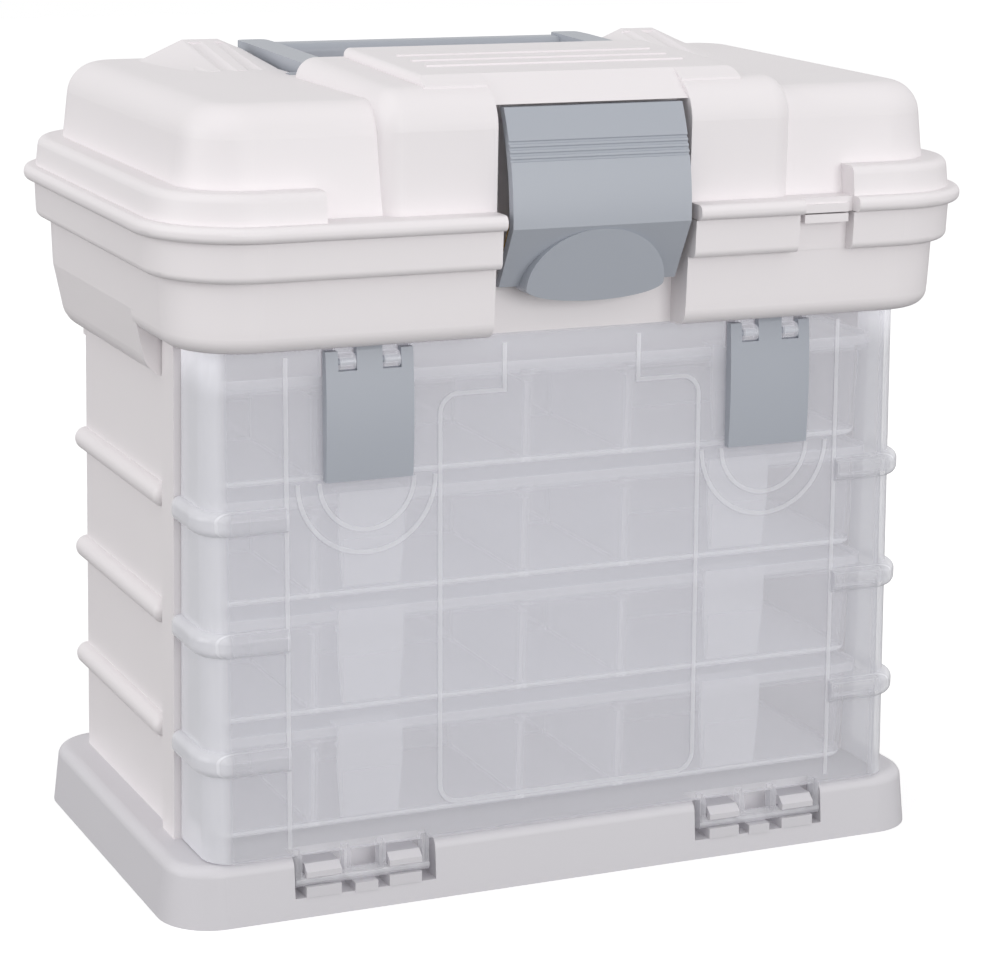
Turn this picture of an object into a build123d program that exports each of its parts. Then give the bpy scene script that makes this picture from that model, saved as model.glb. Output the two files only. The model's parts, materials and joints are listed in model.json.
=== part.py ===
from build123d import *
import os
from math import atan, cos, pi, sin

# Compartment storage box: a white rack with a storage tray and hinged lid on top, four clear
# organisers behind a clear drop-down front door, grey latches and a grey handle.
# Millimetres, +Z up, front towards -Y, origin on the ground under the middle of the plinth.

# general clearances
slip = 0.3                      # gap between pieces that slide, turn or seat loosely
seat = 0.2                      # gap between pieces that rest on each other

# plinth
plinth_width = 280.0
plinth_depth = 154.0
plinth_corner = 18.0
plinth_height = 20.5
plinth_taper = 2.2
plinth_edge = 4.0
plinth_wall = 2.6
plinth_rib = 2.0

# rack: side walls, back and floor, with the door closing the front
rack_width = 253.8              # over the side walls at the plinth
rack_lean = 1.2                 # each side wall leans in by this up to the top
rack_back = 69.0                # back face of the rack
door_face_low = -74.8           # front face of the door at the plinth
door_face_high = -69.5          # front face of the door at its top
rack_corner = 10.0
rack_wall = 2.3
rack_floor = 1.7
rack_front = -44.2              # front edge of the side walls
post_width = 12.0
post_proud = 2.4

# tray and lid share the outline of their seam
seam_width = 286.2
seam_depth = 176.7
seam_corner = 30.5
seam_shift = -1.2               # the seam outline's middle lies a little to the front
seam_height = 225.6
tray_wall = 2.5
tray_front_bottom = 189.6       # underside of the tray over the door
tray_skirt_bottom = 174.0       # lower edge of the tray round the rack
tray_floor = 2.5
tray_deck = 180.0               # underside of the tray's floor over the rack
tray_rim_height = 12.6
tray_rim_step = 4.8
tray_belly = 10.4               # how far the tray draws in at its lower edge
tray_round = 9.5

bead_height = 5.0
bead_proud = 3.6
band_height = 9.6
band_taper = 1.6
dome_step = 9.2
dome_taper = 3.6
dome_top = 265.9
dome_round = 11.5
lid_wall = 2.6

# raised middle of the lid, with the pad in front of the handle
crown_width = 145.2
crown_front = -84.2
crown_back = -6.0
crown_top_front = 270.0
crown_top_back = 272.4
crown_round = 13.0
crown_corner = 7.0
band_end = 93.0                 # the bands to each side stop this far from the middle
lug_gap = 2.0                   # between the stacked lugs and the ends of their gap
lug_height = 2.8
pad_half = 56.0                 # raised pad on the crown, with three fine ridges
pad_front = -69.7
pad_rise = 3.0
pad_ramp = 6.0
pad_round = 2.2
ridge_half = 46.0
ridge_first = -54.0
ridge_pitch = 12.0
ridge_count = 3
ridge_width = 1.8
ridge_height = 0.6

# shoulders beside the handle
shoulder_top = 272.8
shoulder_front_y = 18.0
shoulder_peak_y = 57.0
shoulder_back_y = 71.0
shoulder_reach = 39.0
flute_radius = 5.0
flute_first = 9.0               # from the handle's well to the first flute
flute_pitch = 9.5
flute_count = 3

# carrying handle, folded back
handle_width = 133.0
handle_arm = 11.0
handle_bar_y = 65.5
handle_bar_depth = 11.0
handle_bar_height = 9.6
handle_top = 270.8
handle_pivot_y = 4.0
handle_pivot_z = 262.5
handle_end_radius = 7.0
trunnion_radius = 4.0
trunnion_length = 5.0
handle_well_gap = 2.6
handle_well_floor = 253.5

# main latch and its wire bail
latch_width = 63.0
latch_recess_width = 68.4
latch_recess_back = -73.0
latch_top = 263.4
latch_top_y = -82.0
latch_bulge = 2.4
latch_crease_y = -91.0
latch_crease_z = 226.0
latch_foot_y = -80.5
latch_foot_z = 206.0
latch_plate = 3.2
latch_scoop_width = 49.0
latch_scoop_rise = 19.0
latch_scoop_drop = 5.2
latch_scoop_flare = 4.5
latch_groove_pitch = 1.8
latch_groove_count = 4
latch_groove_depth = 0.6
latch_groove_top = 252.8
latch_ear = 4.0
latch_ear_x = 15.0
bail_wire = 2.0
bail_bar_y = -84.0
bail_bar_z = 234.0
bail_pivot_y = -75.6
bail_pivot_z = 217.5
bail_width = 54.0               # over the middles of the legs

# rear hinge of the lid
lid_axis_offset = 4.6
lid_axis_rise = 1.4
lid_knuckle_radius = 3.8
lid_pin_radius = 1.5
lid_hinge_x = 90.0
lid_hinge_span = 32.0
lid_hinge_middle = 14.0

# front door
door_wall = 2.2
door_gap = 0.5
door_top = 188.8
door_pan_back = -44.6
door_corner_drop = 2.6
door_pin_y = -73.4
door_pin_z = 12.0
door_pin_radius = 2.2
notch_inner = 48.6
notch_outer = 98.5
notch_floor = 6.7
notch_back = -65.5
clip_top = 17.7
clip_spans = ((54.0, 65.5), (82.5, 94.7))
stop_span = (69.6, 77.6)
door_arm_spans = ((50.8, 53.2), (66.2, 68.6), (78.6, 81.0), (95.6, 98.0))
line_width = 1.4
line_proud = 0.6
panel_half = 47.7
panel_low = 32.0
panel_high = 171.0
panel_neck_half = 25.0
door_line_x = 100.0

# door latches
door_latch_x = 72.4
door_latch_width = 30.0
door_latch_bottom = 145.0
door_latch_top = 187.2
door_latch_plate = 2.6
door_latch_bow = 1.0
door_latch_pivot_z = 183.6
door_latch_rod = 1.1
door_latch_notch = 6.4
door_latch_notch_x = 7.6
door_latch_notch_depth = 6.4
door_latch_tab = 189.2
door_latch_room = 5.0           # the room behind its top reaches this far below the rod
finger_ring_radii = (17.0, 24.5)

# half-round ribs round the rack and the door's corners
rib_pitch = 39.55
rib_first = 54.4
rib_count = 3
rib_radius = 4.15
rib_proud = 3.8
rib_shell = 1.9
rib_back = 61.3
rib_front_gap = 6.5
door_rib_proud = 3.2

# organisers
organiser_count = 4
organiser_first = 22.5
organiser_half = 122.0          # over the rims
organiser_front = -60.0
organiser_height = 36.0
organiser_flange = 1.8
organiser_flange_z = 31.0
organiser_body_inset = 2.7
organiser_draft = 0.9
organiser_wall = 1.4
organiser_corner = 7.0
organiser_edge = 1.2            # bevel round the bottom
organiser_lid_plate = 1.6
organiser_latch_x = 67.4
organiser_latch_width = 23.0
organiser_latch_foot = 20.0
organiser_latch_low = 5.5
organiser_latch_high = 22.5
divider_plate = 1.0
divider_pitch = 18.8
divider_front = (-4.5, -0.5, 1.5)   # places in units of the pitch, front row
divider_rear = (1.5,)               # and back row
divider_height = 27.5
divider_rib = 1.0
runner_width = 2.1
runner_plate = 2.0

# self-tapping screws under the plinth
screw_x = 108.0
screw_ys = (-34.0, 54.0)
screw_shank = 2.0
screw_head = 3.8
screw_head_height = 2.4
screw_boss = 4.2
screw_cup_floor = 6.5

# worked out from the above
rack_z = plinth_height
rack_top = tray_deck - slip
lean_height = tray_front_bottom - rack_z
seam_front = seam_shift - seam_depth / 2
seam_back = seam_shift + seam_depth / 2
lid_bottom = seam_height + slip
bead_top = lid_bottom + bead_height
band_top = bead_top + band_height
lid_axis_y = seam_back + lid_axis_offset
lid_axis_z = seam_height + lid_axis_rise
door_bottom = rack_z + door_gap
door_tilt = atan((door_face_high - door_face_low) / lean_height)
skirt_front = rack_front + post_width + slip
rim_low = seam_height - tray_rim_height
organiser_back = rack_back - rack_wall - slip


def seam_outline(inset, z):
    """The rounded rectangle of the seam, drawn in by inset, at a height."""
    face = RectangleRounded(seam_width - 2 * inset, seam_depth - 2 * inset, seam_corner - inset)
    return Pos(0, seam_shift, z) * face


def seam_block(low_inset, low_z, high_inset, high_z):
    """A tapered block between two seam outlines."""
    return loft([seam_outline(low_inset, low_z), seam_outline(high_inset, high_z)], ruled=True)


def rack_half(z):
    """Half the rack's width at a height."""
    return rack_width / 2 - rack_lean * (z - rack_z) / lean_height


def door_face(z):
    """The y of the door's front face at a height."""
    return door_face_low + (door_face_high - door_face_low) * (z - rack_z) / lean_height


def rack_outline(inset, z):
    """The rack and door together in plan at a height, drawn in by inset."""
    half = rack_half(z) - inset
    front = door_face(z) + inset
    back = rack_back - inset
    face = RectangleRounded(2 * half, back - front, rack_corner - inset)
    return Pos(0, (front + back) / 2, z) * face


def rack_block(inset, low_z, high_z):
    """The rack and door together as one leaning block."""
    return loft([rack_outline(inset, low_z), rack_outline(inset, high_z)], ruled=True)


def span_box(x0, x1, y0, y1, z0, z1):
    """A box given by its limits."""
    size = Box(x1 - x0, y1 - y0, z1 - z0)
    return Pos((x0 + x1) / 2, (y0 + y1) / 2, (z0 + z1) / 2) * size


def profile_x(points, x0, x1):
    """A closed outline of (y, z) points carried from x0 to x1."""
    face = Plane.YZ * Polygon(*points, align=None)
    return Pos(x0, 0, 0) * extrude(face, x1 - x0, dir=(1, 0, 0))


def rod_x(radius, x0, x1, y, z):
    """A round rod along X."""
    return Pos((x0 + x1) / 2, y, z) * Rot(0, 90, 0) * Cylinder(radius, x1 - x0)


def rod_z(radius, x, y, z0, z1):
    """An upright round rod."""
    return Pos(x, y, (z0 + z1) / 2) * Cylinder(radius, z1 - z0)


def rod_y(radius, x, y0, y1, z):
    """A round rod along Y."""
    return Pos(x, (y0 + y1) / 2, z) * Rot(90, 0, 0) * Cylinder(radius, y1 - y0)


def save(name, part):
    """Write one sub-part as parts/NAME.step."""
    part.label = name
    export_step(part, f"parts/{name}.step")


# plinth with the clips that hold the door's pins

def plinth_outline(inset, z):
    face = RectangleRounded(plinth_width - 2 * inset, plinth_depth - 2 * inset, plinth_corner - inset)
    return Pos(0, 0, z) * face


def plinth_shell():
    """Open-bottomed moulding with a rounded upper edge and stiffening ribs."""
    outer = loft([plinth_outline(0, 0), plinth_outline(plinth_taper, plinth_height)], ruled=True)
    outer = fillet(outer.edges().group_by(Axis.Z)[-1], plinth_edge)
    under = plinth_height - plinth_wall
    inner = loft([plinth_outline(plinth_wall, 0), plinth_outline(plinth_wall + plinth_taper, under)], ruled=True)
    reach_x = (plinth_width - plinth_wall) / 2
    reach_y = (plinth_depth - plinth_wall) / 2
    ribs = span_box(-reach_x, reach_x, -plinth_rib / 2, plinth_rib / 2, 0, under)
    for x in (-notch_inner / 2, notch_inner / 2):
        ribs += span_box(x - plinth_rib / 2, x + plinth_rib / 2, -reach_y, reach_y, 0, under)
    return outer - inner + (ribs & outer), outer


def door_clip(span):
    """C-shaped clip, open to the front, that a door pin snaps into."""
    front = -plinth_depth / 2 + 0.3
    block = profile_x(
        [(notch_back, notch_floor), (front, notch_floor), (front, clip_top - 2.2),
         (door_pin_y - 0.6, clip_top), (notch_back, clip_top)], span[0], span[1])
    bore = door_pin_radius + slip
    block -= rod_x(bore, span[0] - 1, span[1] + 1, door_pin_y, door_pin_z)
    mouth = 0.75 * door_pin_radius
    return block - span_box(span[0] - 1, span[1] + 1, front - 1, door_pin_y, door_pin_z - mouth, door_pin_z + mouth)


def base_plinth():
    shell, outer = plinth_shell()
    for side in (-1, 1):
        x0, x1 = sorted((side * notch_inner, side * notch_outer))
        pocket = span_box(x0 - plinth_wall, x1 + plinth_wall, -plinth_depth / 2 - 1, notch_back + plinth_wall,
                          0, plinth_height)
        hollow = span_box(x0 + plinth_wall, x1 - plinth_wall, -plinth_depth / 2 + plinth_wall,
                          notch_back - plinth_wall, -1, notch_floor - plinth_wall)
        shell += (pocket & outer) - hollow
        shell -= span_box(x0, x1, -plinth_depth / 2 - 1, notch_back, notch_floor, plinth_height + 1)
        for span in clip_spans:
            shell += door_clip(sorted((side * span[0], side * span[1])))
        s0, s1 = sorted((side * stop_span[0], side * stop_span[1]))
        stop_top = door_pin_z - door_pin_radius - slip
        shell += span_box(s0, s1, -plinth_depth / 2 + 0.3, notch_back, notch_floor - 0.5, stop_top)
    for x in (-screw_x, screw_x):
        for y in screw_ys:
            shell += rod_z(screw_boss + 2.4, x, y, screw_cup_floor, plinth_height - 0.5)
            shell -= rod_z(screw_boss + slip, x, y, screw_cup_floor + 2.2, plinth_height + 1)
            shell -= rod_z(screw_shank + slip, x, y, 0, plinth_height)
    return shell


def base_screws():
    """Four screws from below: through the plinth into the rack's bosses."""
    screws = []
    for x in (-screw_x, screw_x):
        for y in screw_ys:
            head = rod_z(screw_head, x, y, screw_cup_floor - screw_head_height, screw_cup_floor)
            shank = rod_z(screw_shank, x, y, screw_cup_floor - screw_head_height, plinth_height - 3)
            screws += (head + shank).solids()
    return Compound(screws)


# rack

def rib_levels():
    return [rib_first + i * rib_pitch for i in range(rib_count)]


def organiser_levels():
    return [organiser_first + i * rib_pitch for i in range(organiser_count)]


def post(side):
    """Raised, round-topped strip along the front edge of a side wall."""
    skin = rack_block(-post_proud, rack_z, tray_front_bottom)
    y0 = rack_front
    y1 = rack_front + post_width
    top = tray_front_bottom - seat
    flat = Pos(0, (y0 + y1) / 2, (rack_z + top) / 2) * Box(20, post_width, top - rack_z)
    top_edges = flat.edges().filter_by(Axis.X).group_by(Axis.Z)[-1]
    strip = fillet(top_edges, post_width / 2 - 0.2)
    strip = Pos(side * (rack_width / 2 - 5), 0, 0) * strip
    proud = (skin & strip) - rack_block(rack_wall, rack_z - 1, tray_front_bottom + 1)
    return proud


def lower_cabinet():
    shell = rack_block(0, rack_z, tray_front_bottom - seat)
    shell -= span_box(-200, 200, rack_front - 100, rack_front, 0, 300)
    shell -= span_box(-200, 200, rack_front + post_width, 200, rack_top, 300)
    shell += post(-1)
    shell += post(1)
    rib_start = rack_front + post_width + rib_front_gap
    rib_places = [(side * (rack_half(z) + rib_proud - rib_radius), z) for z in rib_levels() for side in (-1, 1)]
    for x, z in rib_places:
        shell += rod_y(rib_radius, x, rib_start, rib_back, z)
        shell += Pos(x, rib_start, z) * Sphere(rib_radius) + Pos(x, rib_back, z) * Sphere(rib_radius)
    shell -= rack_block(rack_wall, rack_z + rack_floor, 200)
    for x, z in rib_places:
        shell -= rod_y(rib_radius - rib_shell, x, rib_start, rib_back, z)
    for z in organiser_levels():
        top = z + organiser_flange_z - slip
        for side in (-1, 1):
            inner = organiser_half - runner_width
            outer = rack_half(z) - rack_wall / 2
            x0, x1 = sorted((side * inner, side * outer))
            shell += span_box(x0, x1, rack_front, organiser_back, top - runner_plate, top)
    for x in (-screw_x, screw_x):
        for y in screw_ys:
            shell += rod_z(screw_boss, x, y, screw_cup_floor + 2.2 + slip, rack_z + 0.5)
            shell -= rod_z(screw_shank, x, y, 0, plinth_height - 2.5)
    return shell


# tray

def tray_outer():
    """Rim band over a body that draws in downwards, shallower over the door."""
    rim = seam_block(0.4, rim_low, 0, seam_height)
    rim = fillet(rim.edges().group_by(Axis.Z)[0], 2.4)
    mid_z = tray_front_bottom + 7
    upper = seam_block(tray_rim_step + 1.0, mid_z, tray_rim_step, seam_height - 2)
    lower = seam_block(tray_belly, tray_skirt_bottom, tray_rim_step + 1.0, mid_z)
    lower = fillet(lower.edges().group_by(Axis.Z)[0], tray_round)
    lower -= span_box(-200, 200, -200, skirt_front, 0, mid_z)
    front = seam_block(tray_rim_step + 1.4, tray_front_bottom, tray_rim_step + 1.0, mid_z + 1)
    front = fillet(front.edges().group_by(Axis.Z)[0], 5.5)
    front -= span_box(-200, 200, skirt_front + 3, 200, 0, 300)
    return upper + lower + front + rim


def tray_hollow():
    """The storage space, with a step in its floor behind the door's head-room."""
    upper = seam_block(tray_rim_step + tray_wall + 1, tray_front_bottom + tray_floor,
                       tray_rim_step + tray_wall, rim_low + 4)
    upper += seam_block(tray_rim_step + tray_wall, rim_low + 4, tray_wall, rim_low + 7)
    upper += seam_block(tray_wall, rim_low + 7, tray_wall, seam_height + 1)
    lower = seam_block(tray_belly + tray_wall, tray_deck + tray_floor,
                       tray_rim_step + tray_wall + 1, tray_front_bottom + tray_floor + 0.1)
    lower -= span_box(-200, 200, -200, skirt_front + tray_wall, 0, 300)
    behind_lugs = span_box(crown_width / 2 - tray_wall, band_end + tray_wall, -200,
                           seam_front + tray_rim_step + tray_wall, 0, 300)
    return upper + lower - behind_lugs


def latch_pocket(z0, z1, grow):
    """The space that the main latch lies in, made larger by grow."""
    half = latch_recess_width / 2 + grow
    return span_box(-half, half, -200, latch_recess_back + grow, z0, z1)


def hinge_spans(side):
    """The three spans of one rear hinge along X: outer, middle, outer."""
    middle = lid_hinge_middle / 2
    outer = lid_hinge_span / 2
    x = side * lid_hinge_x
    return (x - outer, x - middle - slip), (x - middle, x + middle), (x + middle + slip, x + outer)


def upper_tray():
    solid = tray_outer()
    solid -= latch_pocket(0, 300, 0)
    hollow = tray_hollow() - latch_pocket(0, 300, tray_wall)
    solid -= hollow
    # room below the floor for the upper edge of the rack
    room = rack_block(-slip, tray_skirt_bottom - 1, tray_deck)
    room -= span_box(-200, 200, -200, skirt_front - slip, 0, 300)
    solid -= room
    # gap in the rim band for the stacked lugs, right side only
    lug_back = seam_front + tray_rim_step + 0.1
    solid -= span_box(crown_width / 2, band_end, -200, lug_back, 0, seam_height + 1)
    solid += lug(seam_height - 0.2 - lug_height, lug_back + 1)
    for x in (-1, 1):
        solid -= rod_x(bail_wire / 2 + 0.25, x * latch_recess_width / 2 - 4, x * latch_recess_width / 2 + 4,
                       bail_pivot_y, bail_pivot_z)
    for side in (-1, 1):
        left, middle, right = hinge_spans(side)
        for x0, x1 in (left, right):
            solid += span_box(x0, x1, seam_back - 1, lid_axis_y, rim_low + 4, seam_height - 0.2)
            solid += rod_x(lid_knuckle_radius, x0, x1, lid_axis_y, lid_axis_z)
        solid -= rod_x(lid_pin_radius, left[0] - 1, right[1] + 1, lid_axis_y, lid_axis_z)
    return solid


def lug(z, back):
    """Thin tab in the gap of the right-hand rim band, from its bottom z to the wall behind it."""
    return span_box(crown_width / 2 + lug_gap, band_end - lug_gap, seam_front + 0.4, back, z, z + lug_height)


def lid_hinge_pins():
    pins = []
    for side in (-1, 1):
        left, middle, right = hinge_spans(side)
        pins += rod_x(lid_pin_radius, left[0], right[1], lid_axis_y, lid_axis_z).solids()
    return Compound(pins)


# lid

def handle_well(grow, floor):
    """The well in the lid's top that the folded handle lies in."""
    half = handle_width / 2 + handle_well_gap + grow
    back = handle_bar_y + handle_bar_depth / 2 + handle_well_gap + grow
    return span_box(-half, half, crown_back - grow, back, floor, 300)


def crown_block(inset):
    """Raised middle of the lid in side view, carried across its width."""
    front = crown_front + inset
    top = crown_top_front - inset
    high = crown_top_back - inset
    back = crown_back - inset
    low = lid_bottom + bead_height
    with BuildPart() as block:
        with BuildSketch(Plane.YZ):
            with BuildLine():
                Line((front, low), (front, top - crown_round))
                RadiusArc((front, top - crown_round), (front + crown_round, top), crown_round)
                Line((front + crown_round, top), (back, high))
                Line((back, high), (back, low))
                Line((back, low), (front, low))
            make_face()
        extrude(amount=crown_width / 2 - inset, both=True)
    return block.part


def crown_pad():
    """Raised pad between the latch and the handle, with fine ridges across it."""
    back = crown_back - 1
    slope = (crown_top_back - crown_top_front) / (crown_back - crown_front - crown_round)
    front_z = crown_top_front + pad_rise
    back_z = front_z + slope * (back - pad_front)
    pad = profile_x([(pad_front - pad_ramp, front_z - pad_rise), (pad_front, front_z), (back, back_z),
                     (back, crown_top_front - 2), (pad_front - pad_ramp, crown_top_front - 2)], -pad_half, pad_half)
    ends = pad.edges().group_by(Axis.X)
    pad = fillet([ends[0].sort_by(Axis.Z)[-1], ends[-1].sort_by(Axis.Z)[-1]], pad_round)
    for i in range(ridge_count):
        y = ridge_first + i * ridge_pitch
        z = front_z + slope * (y - pad_front)
        pad += span_box(-ridge_half, ridge_half, y, y + ridge_width, z - 1, z + ridge_height)
    return pad


def shoulder(side):
    """Short fluted hump beside the handle's bar, highest near the back."""
    inner = handle_width / 2 + handle_well_gap
    foot = dome_top - 4
    stations = ((shoulder_front_y, dome_top + 0.2, 0.9), (shoulder_peak_y, shoulder_top, 1.0),
                (shoulder_back_y, dome_top - 2, 0.9))
    faces = []
    for y, top, reach in stations:
        x1 = inner + shoulder_reach * reach
        low = min(top, dome_top) - 0.6
        points = [(side * inner, foot), (side * inner, (top + low) / 2), (side * (inner + 9), top),
                  (side * (inner + 22), top), (side * x1, low), (side * x1, foot)]
        faces.append(Plane.XZ.offset(-y) * Polygon(*points, align=None))
    hump = loft(faces, ruled=True)
    # flutes down its front slope
    run = shoulder_peak_y - shoulder_front_y
    lean = atan((shoulder_top - dome_top) / run) * 180 / pi
    for i in range(flute_count):
        x = side * (inner + flute_first + i * flute_pitch)
        place = Pos(x, (shoulder_peak_y + shoulder_front_y) / 2 - 4, (shoulder_top + dome_top) / 2 + flute_radius - 1.4)
        hump -= place * Rot(90 + lean, 0, 0) * Cylinder(flute_radius, run)
    return hump


def lid_outer():
    bead = seam_block(-bead_proud, lid_bottom, -bead_proud, bead_top)
    bead = fillet(bead.edges().group_by(Axis.Z)[0] + bead.edges().group_by(Axis.Z)[-1], 2.2)
    band = seam_block(0, lid_bottom, band_taper, band_top)
    band = fillet(band.edges().group_by(Axis.Z)[-1], 3.0)
    # the band stops short of the middle of the front
    band -= span_box(-band_end, band_end, -200, 0, bead_top, 300)
    dome = seam_block(dome_step - 1, lid_bottom, dome_step + dome_taper, dome_top)
    dome = fillet(dome.edges().group_by(Axis.Z)[-1], dome_round)
    middle = crown_block(0)
    middle = fillet(middle.edges().filter_by(Axis.Z).group_by(Axis.Y)[0], crown_corner)
    solid = dome + band + middle + bead + crown_pad()
    for side in (-1, 1):
        solid += shoulder(side)
    return solid


def lid_hollow():
    space = seam_block(lid_wall, lid_bottom - 1, lid_wall + 1, band_top - lid_wall)
    solid_end = band_end + lid_wall
    space -= span_box(-solid_end, solid_end, -200, 0, bead_top - 1, 300)
    inset = dome_step + lid_wall
    space += seam_block(inset - 1, lid_bottom - 1, inset + dome_taper, dome_top - lid_wall - 1)
    middle = crown_block(lid_wall)
    space += middle
    space -= handle_well(lid_wall, handle_well_floor - lid_wall)
    space -= latch_pocket(0, 300, lid_wall)
    return space


def top_lid():
    solid = lid_outer() - lid_hollow()
    solid -= handle_well(0, handle_well_floor)
    solid -= latch_pocket(0, latch_top + 0.8, 0)
    slant = profile_x([(-200, latch_top + 0.8), (crown_front + 3.5, latch_top + 0.8),
                       (pad_front, crown_top_front + pad_rise), (-60, 300), (-200, 300)],
                      -latch_recess_width / 2, latch_recess_width / 2)
    solid -= slant
    solid -= span_box(crown_width / 2, band_end, -200, seam_front + 1.4, 0, bead_top)
    solid += lug(lid_bottom, seam_front + lid_wall)
    reach = handle_width / 2 + trunnion_length + slip
    solid -= rod_x(trunnion_radius + slip, -reach, reach, handle_pivot_y, handle_pivot_z)
    for side in (-1, 1):
        left, middle, right = hinge_spans(side)
        solid -= span_box(left[0] - slip, right[1] + slip, seam_back + 0.1, 200, 0, bead_top + 0.1)
        x0, x1 = middle
        x0 = x0 + slip
        x1 = x1 - slip
        web_low = lid_axis_z + 1.5
        solid += span_box(x0, x1, seam_back - 2, lid_axis_y, web_low, web_low + 6.5)
        solid += rod_x(lid_knuckle_radius, x0, x1, lid_axis_y, lid_axis_z)
        solid -= rod_x(lid_pin_radius + 0.25, left[0] - 1, right[1] + 1, lid_axis_y, lid_axis_z)
    return solid


# handle

def carry_handle():
    half = handle_width / 2
    low = handle_top - handle_bar_height
    y0 = handle_bar_y - handle_bar_depth / 2
    y1 = handle_bar_y + handle_bar_depth / 2
    bar = span_box(-half + 2, half - 2, y0, y1, low, handle_top - 0.8)
    bar = fillet(bar.edges().filter_by(Axis.X), 3.0)
    arm = profile_x([(handle_pivot_y, handle_pivot_z - handle_end_radius),
                     (handle_pivot_y, handle_pivot_z + handle_end_radius),
                     (y0, handle_top), (y1, handle_top), (y1, low + 0.6), (y0 - 6, low + 0.6)],
                    half - handle_arm, half)
    arm = fillet(arm.edges().filter_by(Axis.Z).group_by(Axis.Y)[-1], 3.0)
    arm += rod_x(handle_end_radius, half - handle_arm, half, handle_pivot_y, handle_pivot_z)
    arm += rod_x(trunnion_radius, half - 1, half + trunnion_length, handle_pivot_y, handle_pivot_z)
    return bar + arm + mirror(arm, about=Plane.YZ)


# main latch

def latch_side(inset):
    """Side view of the latch plate's front, or of its back when inset."""
    top = (latch_top_y + inset, latch_top)
    crease = (latch_crease_y + inset, latch_crease_z)
    foot = (latch_foot_y + inset, latch_foot_z)
    middle = ((top[0] + crease[0]) / 2 - latch_bulge, (top[1] + crease[1]) / 2)
    return top, middle, crease, foot


def main_latch():
    top, middle, crease, foot = latch_side(0)
    top_in, middle_in, crease_in, foot_in = latch_side(latch_plate)
    half = latch_width / 2
    with BuildPart() as plate:
        with BuildSketch(Plane.YZ):
            with BuildLine():
                ThreePointArc(top, middle, crease)
                Line(crease, foot)
                Line(foot, foot_in)
                Line(foot_in, crease_in)
                ThreePointArc(crease_in, middle_in, top_in)
                Line(top_in, top)
            make_face()
        extrude(amount=half, both=True)
    body = plate.part
    for i in range(latch_groove_count):
        z = latch_groove_top - i * latch_groove_pitch
        y = latch_front_y(z)
        body -= rod_x(latch_groove_depth, -half - 1, half + 1, y - 0.1, z)
    # finger scoop that flares out at the foot
    drop = foot[1] - latch_scoop_drop
    wedge = profile_x([(crease[0], crease[1] - 1), (foot[0] - latch_scoop_flare, drop), (foot[0] + 1.0, drop),
                       (foot_in[0], foot[1]), (crease_in[0], crease[1] - 1)],
                      -latch_scoop_width / 2, latch_scoop_width / 2)
    arch = Ellipse(latch_scoop_width / 2, latch_scoop_rise) - Pos(0, -latch_scoop_rise) * Rectangle(
        latch_scoop_width, 2 * latch_scoop_rise)
    arch += Ellipse(latch_scoop_width / 2, latch_scoop_drop)
    body += wedge & (Pos(0, foot[0], foot[1]) * Rot(90, 0, 0) * extrude(arch, 40, both=True))
    # ears behind the plate carry the bail's bar
    for side in (-1, 1):
        x0, x1 = sorted((side * latch_ear_x, side * (latch_ear_x + latch_ear)))
        ear = rod_x(bail_wire / 2 + 1.8, x0, x1, bail_bar_y, bail_bar_z)
        ear += span_box(x0, x1, latch_front_y(bail_bar_z) + latch_plate - 0.6, bail_bar_y,
                        bail_bar_z - 2.4, bail_bar_z + 2.4)
        body += ear - rod_x(bail_wire / 2 + 0.25, x0 - 1, x1 + 1, bail_bar_y, bail_bar_z)
    return body


def latch_front_y(z):
    """The y of the latch's bulging front at a height above the crease."""
    share = (latch_top - z) / (latch_top - latch_crease_z)
    chord = latch_top_y + (latch_crease_y - latch_top_y) * share
    return chord - latch_bulge * (1 - (2 * share - 1) ** 2)


def latch_bail():
    """Wire loop: bar through the latch's ears, two legs, ends turned out into the tray."""
    half = bail_width / 2
    out = latch_recess_width / 2 + tray_wall - 0.3
    bar = (bail_bar_y, bail_bar_z)
    foot = (bail_pivot_y, bail_pivot_z)
    wire = bail_wire / 2
    with BuildPart() as bail:
        with BuildLine() as path:
            Polyline((-out, *foot), (-half, *foot), (-half, *bar), (half, *bar), (half, *foot), (out, *foot))
        with BuildSketch(Plane(origin=(-out, *foot), z_dir=(1, 0, 0))):
            Circle(wire)
        sweep(transition=Transition.RIGHT)
    return bail.part


# front door

def door_plane(z):
    """Plane on the leaning front face of the door, x to the right and y up."""
    return Plane(origin=(0, door_face(z), z), x_dir=(1, 0, 0), z_dir=(0, -cos(door_tilt), sin(door_tilt)))


def door_pan():
    """Front plate with side walls that reach back to the rack, ribbed at the corners."""
    solid = rack_block(0, door_bottom, door_top)
    less = rib_shell
    cores = []
    for z in rib_levels():
        half = rack_half(z) + door_rib_proud
        front = door_face(z) - door_rib_proud
        ring = rib_slab(half, front, rack_corner + door_rib_proud, z, rib_radius, door_rib_proud)
        solid += ring - span_box(-door_line_x, door_line_x, -200, 200, 0, 300)
        core = rib_slab(half - less, front + less, rack_corner + door_rib_proud - less, z, rib_radius - less, 0)
        cores.append(core - span_box(-door_line_x - less, door_line_x + less, -200, 200, 0, 300))
    solid -= rack_block(door_wall, door_bottom - 1, door_top + 1)
    for core in cores:
        solid -= core
    solid -= span_box(-200, 200, door_pan_back, 200, 0, 300)
    # the side walls' upper ends slope so that they clear the tray as the door drops
    wedge = profile_x([(door_face_high + 8, door_top), (door_pan_back, door_top - door_corner_drop),
                       (door_pan_back + 5, door_top - door_corner_drop), (door_pan_back + 5, door_top + 5),
                       (door_face_high + 8, door_top + 5)], -200, 200)
    return solid - wedge


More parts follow.
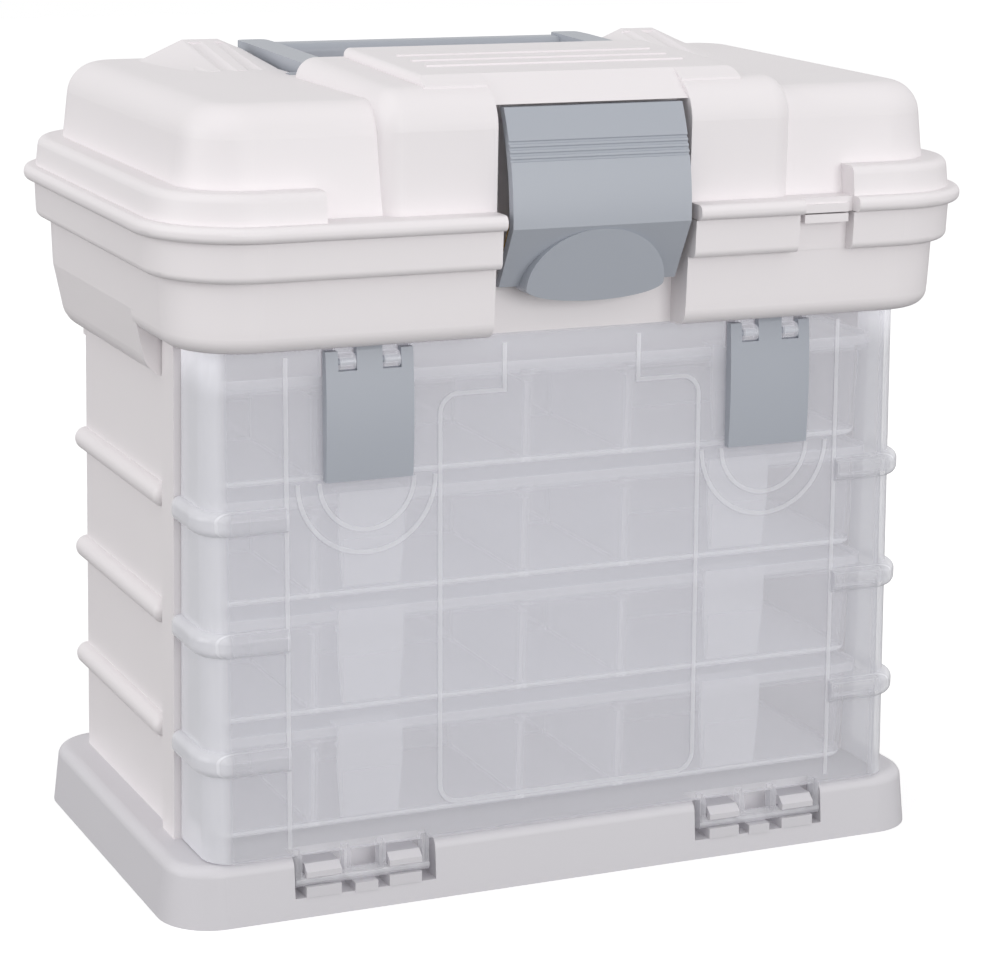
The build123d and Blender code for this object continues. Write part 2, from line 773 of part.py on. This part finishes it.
def rib_slab(half, front, corner, z, radius, edge):
    """One rib level in plan: a slab with rounded edges that wraps the front corners."""
    back = rack_back
    slab = RectangleRounded(2 * half, back - front, corner)
    block = extrude(Pos(0, (back + front) / 2, z - radius) * slab, 2 * radius)
    if edge == 0:
        return block
    rims = block.edges().group_by(Axis.Z)
    return fillet(rims[0] + rims[-1], edge * 0.95)


def panel_outline(grow):
    """Shouldered panel drawn on the door, wider or narrower by grow."""
    half = panel_half + grow
    neck = panel_neck_half + grow
    low = panel_low - grow
    shelf = panel_high + grow
    top = door_top - 3
    wide = RectangleRounded(2 * half, shelf - low, 7.0 + grow)
    narrow = Rectangle(2 * neck, top - shelf + 20)
    mid = (low + shelf) / 2
    return Pos(0, mid) * wide + Pos(0, (top + shelf - 20) / 2) * narrow


def clear_door():
    solid = door_pan()
    # raised lines on the front
    plane = door_plane(0)
    lines = panel_outline(0) - panel_outline(-line_width)
    lines -= Pos(0, door_top - 3 - line_width / 2) * Rectangle(2 * (panel_neck_half - line_width), 3 * line_width)
    for side in (-1, 1):
        tall = door_top - door_bottom - 6
        lines += Pos(side * door_line_x, (door_top + door_bottom) / 2) * Rectangle(line_width, tall)
        for radius in finger_ring_radii:
            ring = Circle(radius) - Circle(radius - line_width)
            ring -= Pos(0, radius / 2 + 2) * Rectangle(2 * radius + 2, radius + 4)
            lines += Pos(side * door_latch_x, door_latch_bottom - 0.5) * ring
    solid += extrude(plane * lines, line_proud, dir=plane.z_dir)
    # room for each latch's top to swing back into, and the hooks that carry the latch
    for side in (-1, 1):
        x = side * door_latch_x
        inner = door_latch_notch_x - door_latch_notch / 2 + slip
        outer = door_latch_notch_x + door_latch_notch / 2 - slip
        end = door_latch_width / 2 + slip
        for x0, x1 in ((-end, -outer), (-inner, inner), (outer, end)):
            solid -= span_box(x + x0, x + x1, -90, -60, door_latch_pivot_z - door_latch_room, door_top + 1)
        for place in (-1, 1):
            solid += latch_hook(x + place * door_latch_notch_x)
    # hinge arms and pins
    for side in (-1, 1):
        for span in door_arm_spans:
            x0, x1 = sorted((side * span[0], side * span[1]))
            arm = span_box(x0, x1, door_pin_y - door_pin_radius, door_pin_y + door_pin_radius,
                           door_pin_z, door_bottom + 1.0)
            arm = arm & rack_block(0, 0, 60)
            solid += arm + rod_x(door_pin_radius, x0, x1, door_pin_y, door_pin_z)
        x0, x1 = sorted((side * door_arm_spans[0][0], side * door_arm_spans[-1][1]))
        solid += rod_x(door_pin_radius, x0, x1, door_pin_y, door_pin_z)
    return solid


def latch_rod_y():
    """The y of the rod that a door latch turns on."""
    return door_face(door_latch_pivot_z) - slip - door_latch_rod - 0.4


def latch_hook(x):
    """Hook on the door that wraps the latch's rod."""
    y = latch_rod_y()
    z = door_latch_pivot_z
    half = door_latch_notch / 2 - 0.6
    outer = door_latch_rod + slip + 1.2
    hook = rod_x(outer, x - half, x + half, y, z)
    hook += span_box(x - half, x + half, y, door_face(z) + 0.5, z - outer, z + outer)
    return hook - rod_x(door_latch_rod + slip, x - half - 1, x + half + 1, y, z)


def door_latch(side):
    """Bowed plate that hangs on a rod, with two notches and a catch tab on top."""
    x = side * door_latch_x
    half = door_latch_width / 2
    rod_y = latch_rod_y()
    back_low = door_face(door_latch_bottom) - slip
    back_high = door_face(door_latch_top) - slip
    mid_z = (door_latch_bottom + door_latch_top) / 2
    mid_y = (back_low + back_high) / 2 - door_latch_plate - door_latch_bow
    with BuildPart() as plate:
        with BuildSketch(Plane.YZ):
            with BuildLine():
                Line((back_low, door_latch_bottom), (back_high, door_latch_top))
                Line((back_high, door_latch_top), (back_high - door_latch_plate, door_latch_top))
                ThreePointArc((back_high - door_latch_plate, door_latch_top), (mid_y, mid_z),
                              (back_low - door_latch_plate, door_latch_bottom))
                Line((back_low - door_latch_plate, door_latch_bottom), (back_low, door_latch_bottom))
            make_face()
        extrude(amount=half, both=True)
    body = Pos(x, 0, 0) * plate.part
    for place in (-1, 1):
        nx = x + place * door_latch_notch_x
        w = door_latch_notch / 2
        body -= span_box(nx - w, nx + w, -100, 0, door_latch_top - door_latch_notch_depth, door_latch_top + 1)
        body += rod_x(door_latch_rod, nx - w - 1, nx + w + 1, rod_y, door_latch_pivot_z)
    tab = door_latch_notch_x - door_latch_notch / 2
    body += span_box(x - tab, x + tab, back_high - door_latch_plate, back_high, door_latch_top - 1, door_latch_tab)
    return body


# organisers, modelled at z = 0 and copied up the rack

def organiser_outline(inset, z, corner):
    width = 2 * (organiser_half - inset)
    depth = organiser_back - organiser_front - 2 * inset
    mid = (organiser_back + organiser_front) / 2
    return Pos(0, mid, z) * RectangleRounded(width, depth, corner)


def divider_places():
    """(x, y0, y1) of each removable divider, between the walls and the middle partition."""
    mid = (organiser_back + organiser_front) / 2
    wall = organiser_body_inset + organiser_draft + organiser_wall
    rows = ((divider_front, organiser_front + wall, mid - organiser_wall / 2),
            (divider_rear, mid + organiser_wall / 2, organiser_back - wall))
    return [(place * divider_pitch, y0, y1) for places, y0, y1 in rows for place in places]


def organiser_box():
    foot = organiser_outline(organiser_body_inset + organiser_draft + organiser_edge, 0, organiser_corner - 3)
    low = organiser_outline(organiser_body_inset + organiser_draft, organiser_edge, organiser_corner - 2)
    high = organiser_outline(organiser_body_inset, organiser_flange_z + organiser_flange, organiser_corner - 2)
    body = loft([foot, low, high], ruled=True)
    flange = extrude(organiser_outline(0, organiser_flange_z, organiser_corner), organiser_flange)
    body += flange
    inset = organiser_body_inset + organiser_wall
    low = organiser_outline(inset + organiser_draft, organiser_wall, organiser_corner - 3)
    high = organiser_outline(inset, organiser_flange_z + organiser_flange + 0.1, organiser_corner - 3)
    body -= loft([low, high], ruled=True)
    mid = (organiser_back + organiser_front) / 2
    half = organiser_half - organiser_body_inset - 0.5
    body += span_box(-half, half, mid - organiser_wall / 2, mid + organiser_wall / 2, 0.5, organiser_flange_z)
    for x, y0, y1 in divider_places():
        for side in (-1, 1):
            rx = x + side * (divider_plate / 2 + 0.15 + divider_rib / 2)
            for ya, yb in ((y0 - 1.3, y0 + 1.4), (y1 - 1.4, y1 + 1.3)):
                body += span_box(rx - divider_rib / 2, rx + divider_rib / 2, ya, yb, 0.6, divider_height)
    return body


def organiser_lid():
    z = organiser_flange_z + organiser_flange + 0.1
    plate = extrude(organiser_outline(0, z, organiser_corner), organiser_lid_plate)
    rim = extrude(organiser_outline(0, z, organiser_corner), organiser_height - z)
    rim -= extrude(organiser_outline(1.6, z, organiser_corner - 1.6), organiser_height)
    lip = extrude(organiser_outline(organiser_body_inset + organiser_wall + 0.3, z - 2.0, organiser_corner - 3.3), 2.2)
    lip -= extrude(organiser_outline(organiser_body_inset + organiser_wall + 1.5, z - 2.1, organiser_corner - 4.5), 3)
    mid = (organiser_back + organiser_front) / 2
    for x, y0, y1 in divider_places():
        lip -= span_box(x - 2.5, x + 2.5, y0 - 5, y1 + 5, z - 3, z)
    half = organiser_half
    lip -= span_box(-half, half, mid - 2, mid + 2, z - 3, z)
    return plate + rim + lip


def organiser_latches():
    """Two small snap latches hooked over the front edge of an organiser's lid."""
    latches = []
    top = organiser_height
    front = organiser_front - 3.6
    for side in (-1, 1):
        x = side * organiser_latch_x
        half = organiser_latch_width / 2
        foot = organiser_latch_foot / 2
        face = Plane.XZ * Polygon((x - half, top), (x + half, top), (x + half, organiser_latch_high),
                                  (x + foot, organiser_latch_low), (x - foot, organiser_latch_low),
                                  (x - half, organiser_latch_high), align=None)
        plate = Pos(0, front, 0) * extrude(face, 1.5, dir=(0, 1, 0))
        plate += span_box(x - half, x + half, front + 0.5, organiser_front + 4.0, top + 0.1, top + 1.2)
        plate += span_box(x - half, x + half, front, front + 1.5, top - 1, top + 1.2)
        plate += span_box(x - half, x + half, front, organiser_front - 0.1, organiser_flange_z - 1.6,
                          organiser_flange_z - 0.1)
        pad = span_box(x - foot, x + foot, front - 0.5, front + 0.5, organiser_latch_low + 1, organiser_latch_high - 1)
        latches += (plate + pad).solids()
    return Compound(latches)


def organiser_dividers():
    plates = []
    for x, y0, y1 in divider_places():
        half = divider_plate / 2
        plates += span_box(x - half, x + half, y0 + slip, y1 - slip, organiser_wall + seat, divider_height).solids()
    return Compound(plates)


def main():
    os.makedirs("parts", exist_ok=True)
    save("base_plinth", base_plinth())
    save("base_screws", base_screws())
    save("lower_cabinet", lower_cabinet())
    save("upper_tray", upper_tray())
    save("lid_hinge_pins", lid_hinge_pins())
    save("top_lid", top_lid())
    save("carry_handle", carry_handle())
    save("main_latch", main_latch())
    save("latch_bail", latch_bail())
    save("clear_door", clear_door())
    save("left_door_latch", door_latch(-1))
    save("right_door_latch", door_latch(1))
    box = organiser_box()
    lid = organiser_lid()
    latches = organiser_latches()
    dividers = organiser_dividers()
    for i, z in enumerate(organiser_levels()):
        save(f"organizer_box_{i + 1}", Pos(0, 0, z) * box)
        save(f"organizer_lid_{i + 1}", Pos(0, 0, z) * lid)
        save(f"organizer_latches_{i + 1}", Pos(0, 0, z) * latches)
        save(f"organizer_dividers_{i + 1}", Pos(0, 0, z) * dividers)


main()
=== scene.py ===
# %% [markdown]
# A white storage box with a clear front, dressed for a product picture. Every shape comes from
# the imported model, so this file adds what a model for making leaves out: the camera, the light
# and the finish of every plastic. Lengths are in metres, +Z is up and the clear door faces -Y.

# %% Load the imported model
import json
import math
import bpy
import numpy as np
from mathutils import Matrix

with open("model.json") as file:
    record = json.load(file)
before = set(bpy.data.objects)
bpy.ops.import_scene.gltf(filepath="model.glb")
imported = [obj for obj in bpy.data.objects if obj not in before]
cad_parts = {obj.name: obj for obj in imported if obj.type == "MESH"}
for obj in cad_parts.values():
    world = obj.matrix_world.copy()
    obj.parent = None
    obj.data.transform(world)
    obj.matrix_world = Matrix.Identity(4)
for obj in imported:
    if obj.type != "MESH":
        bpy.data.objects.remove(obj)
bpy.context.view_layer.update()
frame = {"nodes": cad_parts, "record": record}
nodes = frame["nodes"]

# %% [markdown]
# The camera stands to the left of the front and a little above the lid. A long lens keeps the
# uprights nearly parallel, as in a catalogue picture. Its turn is built from three angles, so
# each of them can be read and changed by itself.

# %% Camera
eye = (-0.4238, -0.9459, 0.3768)
azimuth = math.radians(-24.33)
look_down = math.radians(13.81)
roll = math.radians(0.99)
picture_width = 985
focal_pixels = 3028.0


def camera_axes(azimuth, look_down, roll):
    """Right, up and back: two turns about the upright and level axes, then a roll about back."""
    back = np.array([math.sin(azimuth) * math.cos(look_down), -math.cos(azimuth) * math.cos(look_down),
                     math.sin(look_down)])
    right = np.array([math.cos(azimuth), math.sin(azimuth), 0.0])
    up = np.cross(back, right)
    return right * math.cos(roll) + up * math.sin(roll), up * math.cos(roll) - right * math.sin(roll), back


camera = bpy.data.objects.new("camera", bpy.data.cameras.new("camera"))
bpy.context.scene.collection.objects.link(camera)
bpy.context.scene.camera = camera
camera.data.sensor_width = 36.0
camera.data.lens = focal_pixels * camera.data.sensor_width / picture_width
camera.data.clip_start = 0.05
camera.data.clip_end = 50.0
turn = np.eye(4)
turn[:3, 0], turn[:3, 1], turn[:3, 2] = camera_axes(azimuth, look_down, roll)
turn[:3, 3] = eye
camera.matrix_world = Matrix(turn.tolist())
print("lens:", round(camera.data.lens, 1), "mm")

# %% [markdown]
# The picture is bright and nearly without shadows: a white room, a large soft light low in
# front, so that it reaches under the tray's overhang, and a second one at the left. The room is
# set a little dimmer for the light that it gives than for what the camera sees of it, as when a
# backdrop has a lamp of its own.

# %% Floor, room and lights
room_light = 0.76
floor_half = 3.0
middle = (0.0, 0.0, 0.14)


def new_object(name, data):
    made = bpy.data.objects.new(name, data)
    bpy.context.scene.collection.objects.link(made)
    return made


def mesh_from_grid(name, points):
    """A mesh of quads from an array of points, rows by columns by 3."""
    rows, columns = points.shape[:2]
    index = np.arange(rows * columns).reshape(rows, columns)
    quads = np.stack([index[:-1, :-1], index[1:, :-1], index[1:, 1:], index[:-1, 1:]], -1).reshape(-1, 4)
    mesh = bpy.data.meshes.new(name)
    mesh.from_pydata(points.reshape(-1, 3).tolist(), [], quads.tolist())
    mesh.update()
    return mesh


def soft_light(name, place, size, power):
    """A square lamp at a place that faces the middle of the box."""
    lamp = bpy.data.lights.new(name, "AREA")
    lamp.size = size
    lamp.energy = power
    made = new_object(name, lamp)
    back = np.array(place) - middle
    back /= np.linalg.norm(back)
    side = np.cross((0.0, 0.0, 1.0), back)
    side /= np.linalg.norm(side)
    turn = np.eye(4)
    turn[:3, 0], turn[:3, 1], turn[:3, 2], turn[:3, 3] = side, np.cross(back, side), back, place
    made.matrix_world = Matrix(turn.tolist())


spread = np.array([-floor_half, floor_half])
floor_points = np.stack(np.broadcast_arrays(spread[None, :], spread[:, None], np.zeros((2, 2))), -1)
floor = new_object("floor", mesh_from_grid("floor", floor_points))
soft_light("key", (0.3, -2.2, 0.4), 1.3, 21.0)
soft_light("side", (-2.2, 0.15, 0.7), 1.5, 15.5)
bpy.context.scene.view_settings.view_transform = "Standard"
bpy.context.scene.cycles.transparent_max_bounces = 32

world = bpy.data.worlds.new("room")
bpy.context.scene.world = world
world.use_nodes = True
room = world.node_tree.nodes
ray = room.new("ShaderNodeLightPath")
strength = room.new("ShaderNodeMix")
strength.inputs["A"].default_value = room_light
strength.inputs["B"].default_value = 1.0
world.node_tree.links.new(ray.outputs["Is Camera Ray"], strength.inputs["Factor"])
world.node_tree.links.new(strength.outputs["Result"], room["Background"].inputs["Strength"])
room["Background"].inputs["Color"].default_value = (1.0, 1.0, 1.0, 1.0)

# %% [markdown]
# Node trees are easier to read as sums. The class below wraps a socket, so that an expression
# such as 0.3 + 0.1 * noise adds its Math nodes by itself. Everything else comes from one
# method that takes a node's type, its settings and the values or links of its sockets.

# %% A socket that does sums
grain_depth = 0.00002


class Value:
    """The output of a node, which can be used in sums."""

    def __init__(self, finish, socket):
        self.finish = finish
        self.socket = socket

    def maths(self, operation, *others):
        return self.finish.add("ShaderNodeMath", {"operation": operation}, dict(enumerate((self, *others))))

    def __add__(self, other):
        return self.maths("ADD", other)

    def __mul__(self, other):
        return self.maths("MULTIPLY", other)

    def __sub__(self, other):
        return self.maths("SUBTRACT", other)

    def __rsub__(self, other):
        return self.maths("MULTIPLY", -1.0).maths("ADD", other)

    def __pow__(self, other):
        return self.maths("POWER", other)

    __radd__ = __add__
    __rmul__ = __mul__


class Finish:
    """One material and the nodes that it is made of."""

    def __init__(self, name):
        self.material = bpy.data.materials.new(name)
        self.material.use_nodes = True
        self.tree = self.material.node_tree
        self.tree.nodes.clear()

    def add(self, kind, settings=None, sockets=None, out=0):
        """A node with its settings, its sockets filled with values or links, and one output."""
        node = self.tree.nodes.new(kind)
        for key, value in (settings or {}).items():
            setattr(node, key, value)
        for key, value in (sockets or {}).items():
            if isinstance(value, Value):
                self.tree.links.new(value.socket, node.inputs[key])
            else:
                node.inputs[key].default_value = value
        return Value(self, node.outputs[out])

    def place(self, axis):
        """One of the object's own coordinates."""
        point = self.add("ShaderNodeTexCoord", out="Object")
        return self.add("ShaderNodeSeparateXYZ", sockets={"Vector": point}, out=axis)

    def noise(self, scale, detail=3.0, stretch=(1.0, 1.0, 1.0)):
        """Noise on the object's own coordinates, from 0 to 1, with its scale stretched along the axes."""
        point = self.add("ShaderNodeTexCoord", out="Object")
        point = self.add("ShaderNodeMapping", sockets={"Vector": point, "Scale": stretch})
        return self.add("ShaderNodeTexNoise", sockets={"Vector": point, "Scale": scale, "Detail": detail})

    def grain(self, scale, strength):
        """A very fine noise that leans the surface a little."""
        return self.add("ShaderNodeBump", sockets={
            "Height": self.noise(scale, detail=2.0), "Distance": grain_depth, "Strength": strength})

    def blend(self, factor, first, second):
        """A colour between two colours."""
        return self.add("ShaderNodeMix", {"data_type": "RGBA"}, {0: factor, 6: first, 7: second}, out=2)

    def finish(self, shader):
        end = self.tree.nodes.new("ShaderNodeOutputMaterial")
        self.tree.links.new(shader.socket, end.inputs["Surface"])
        return self.material


# %% [markdown]
# The white shell is injection-moulded and satin. Its colour is a warm white that varies by a
# hair over the size of a hand, its gloss changes a little where the mould was polished more,
# and a very fine grain breaks the highlights.

# %% White plastic
def white_plastic(name="white_plastic", tone=(0.87, 0.835, 0.848, 1.0)):
    made = Finish(name)
    cloud = made.noise(9.0, detail=2.0)
    darker = (0.97 * tone[0], 0.965 * tone[1], 0.97 * tone[2], 1.0)
    colour = made.blend(cloud, darker, tone)
    flow = made.noise(30.0, detail=4.0, stretch=(1.0, 1.0, 3.0))
    return made.finish(made.add("ShaderNodeBsdfPrincipled", sockets={
        "Base Color": colour, "Roughness": 0.40 + 0.12 * flow, "Specular IOR Level": 0.45,
        "Normal": made.grain(2600.0, 0.35)}))


# %% [markdown]
# The latches and the handle are a cool grey, a touch glossier than the shell.

# %% Grey plastic
def grey_plastic():
    made = Finish("grey_plastic")
    cloud = made.noise(14.0)
    colour = made.blend(cloud, (0.405, 0.43, 0.48, 1.0), (0.435, 0.46, 0.51, 1.0))
    return made.finish(made.add("ShaderNodeBsdfPrincipled", sockets={
        "Base Color": colour, "Roughness": 0.30 + 0.10 * cloud,
        "Normal": made.grain(2200.0, 0.3)}))


# %% [markdown]
# The door and the organizers are clear, faintly lavender plastic. Thin clear walls are made
# here as a film that lets most light straight through, with more colour where the wall is seen
# edge on: the path through the plastic is longer there. A little glow is painted light: it lifts
# the shade inside and behind the walls, though the plastic is no lamp. Raised lines, thick edges
# and ribs show as lighter marks, and a function for each kind of part says where they are.

# %% Clear plastic
film = (0.86, 0.86, 0.90, 1.0)


def smooth_step(value, low, high):
    """0 below low, 1 above high and a smooth rise between."""
    return value.finish.add("ShaderNodeMapRange", {"interpolation_type": "SMOOTHSTEP"},
                            {"Value": value, "From Min": low, "From Max": high})


def between(value, low, high, soft=0.0004):
    """1 from low to high and 0 outside, with soft ends."""
    return smooth_step(value, low - soft, low + soft) * (1.0 - smooth_step(value, high - soft, high + soft))


def clear_plastic(name, thin=0.10, edge=0.70, roughness=0.10, painted_light=0.10, marks=None, painted_light_colour=None):
    """A film whose cover grows towards its edges and on its marks, with painted light: an even glow or a
    coloured one.
    """
    made = Finish(name)
    facing = made.add("ShaderNodeLayerWeight", sockets={"Blend": 0.35}, out="Facing")
    cover = thin + edge * facing ** 2.5 + 0.03 * made.noise(40.0)
    if marks:
        cover = cover + marks(made)
    return made.finish(made.add("ShaderNodeBsdfPrincipled", sockets={
        "Base Color": film, "Roughness": roughness, "Alpha": cover, "Emission Strength": painted_light,
        "Emission Color": painted_light_colour(made) if painted_light_colour else film}))


# %% [markdown]
# The marks of the door are the lines that stand proud of its face, and its thick rounded
# corners. The face leans back a little, so its distance is worked out from two points of it.
# Painted light: the door glows most in the strip below the tray's overhang, lifting its shade.

# %% Marks on the clear door
door_low, door_high = (-0.0748, 0.0205), (-0.0695, 0.1896)      # two (y, z) points of the door's front face
line_height = (0.00045, 0.001, 0.00015)     # from, to and softness
corner = (0.1185, 0.1225)
# Painted light: the door glows dimly below this strip and fully above it, under the tray.
painted_light_strip = (0.172, 0.187)
dim_painted_light_colour = (0.10, 0.10, 0.105, 1.0)


def door_marks(made):
    lean = (door_high[0] - door_low[0]) / (door_high[1] - door_low[1])
    proud = (door_low[0] - lean * door_low[1]) + lean * made.place("Z") - made.place("Y")
    at_corner = smooth_step(made.place("X").maths("ABSOLUTE"), *corner)
    return 0.22 * between(proud, *line_height) + 0.30 * at_corner


# Painted light: the door's glow colour, dim low on the door and full below the tray.
def door_painted_light(made):
    return made.blend(smooth_step(made.place("Z"), *painted_light_strip), dim_painted_light_colour, film)


# %% [markdown]
# An organizer shows its thick floor, most of all at the front, and the ribs that hold its
# dividers. All four are alike, so heights are counted from just below the floor of each.

# %% Marks on the organizers
floor_height, level_pitch = 0.0225, 0.03955
below_floor = 0.001
floor_mark = 0.0022
front_wall = (-0.0565, -0.0545)
divider_places = (-0.0846, -0.0094, 0.0282)
divider_half = 0.0018


def organizer_marks(made):
    height = (made.place("Z") - (floor_height - below_floor)).maths("MODULO", level_pitch)
    at_front = 1.0 - smooth_step(made.place("Y"), *front_wall)
    marks = (0.20 + 0.55 * at_front) * between(height, below_floor, below_floor + floor_mark)
    for place in divider_places:
        marks = marks + 0.16 * between(made.place("X"), place - divider_half, place + divider_half)
    return marks


# %% [markdown]
# Metal is rare: the wire of the front latch is brass, and the hinge pins and the screws below
# are plain steel.

# %% Metals
def metal(name, colour, roughness):
    made = Finish(name)
    scratches = made.noise(400.0, stretch=(0.1, 1.0, 1.0))
    return made.finish(made.add("ShaderNodeBsdfPrincipled", sockets={
        "Base Color": colour, "Metallic": 1.0, "Roughness": roughness + 0.15 * scratches}))


# %% Give each node its finish
plinth_tone = (0.70, 0.685, 0.715, 1.0)     # a shade darker and cooler than the shell above it
finishes = {
    "white_plastic": white_plastic(), "grey_plastic": grey_plastic(),
    "clear_plastic": clear_plastic("clear_plastic", marks=organizer_marks),
    "frosted_plastic": clear_plastic("frosted_plastic", thin=0.30, edge=0.5, roughness=0.35),
    "brass_wire": metal("brass_wire", (0.78, 0.58, 0.28, 1.0), 0.18),
    "steel": metal("steel", (0.62, 0.62, 0.63, 1.0), 0.25)}
slots = {part["node"]: part["material_slot"] for part in frame["record"]["subparts"]}
for name, node in nodes.items():
    for slot in node.material_slots:
        slot.material = finishes[slots[name]]
own_finishes = {
    "base_plinth": white_plastic("plinth_plastic", plinth_tone),
    # The door's stronger glow is painted light that lifts the shade under the tray.
    "clear_door": clear_plastic("clear_door", thin=0.24, painted_light=0.28, marks=door_marks, painted_light_colour=door_painted_light)}
rim_finish = clear_plastic("clear_rim", thin=0.34)
for level in range(1, 5):
    own_finishes[f"organizer_lid_{level}"] = rim_finish
for name, finish in own_finishes.items():
    nodes[name].material_slots[0].material = finish

# %% The floor's finish, brighter for the camera than for the light that it gives back
floor_tones = (0.20, 0.20, 0.20, 1.0), (0.92, 0.92, 0.92, 1.0)
floor_finish = Finish("floor")
seen = floor_finish.add("ShaderNodeLightPath", out="Is Camera Ray")
floor.data.materials.append(floor_finish.finish(floor_finish.add("ShaderNodeBsdfPrincipled", sockets={
    "Base Color": floor_finish.blend(seen, *floor_tones), "Roughness": 0.8,
    "Emission Color": (1.0, 1.0, 1.0, 1.0), "Emission Strength": 0.35 * seen})))
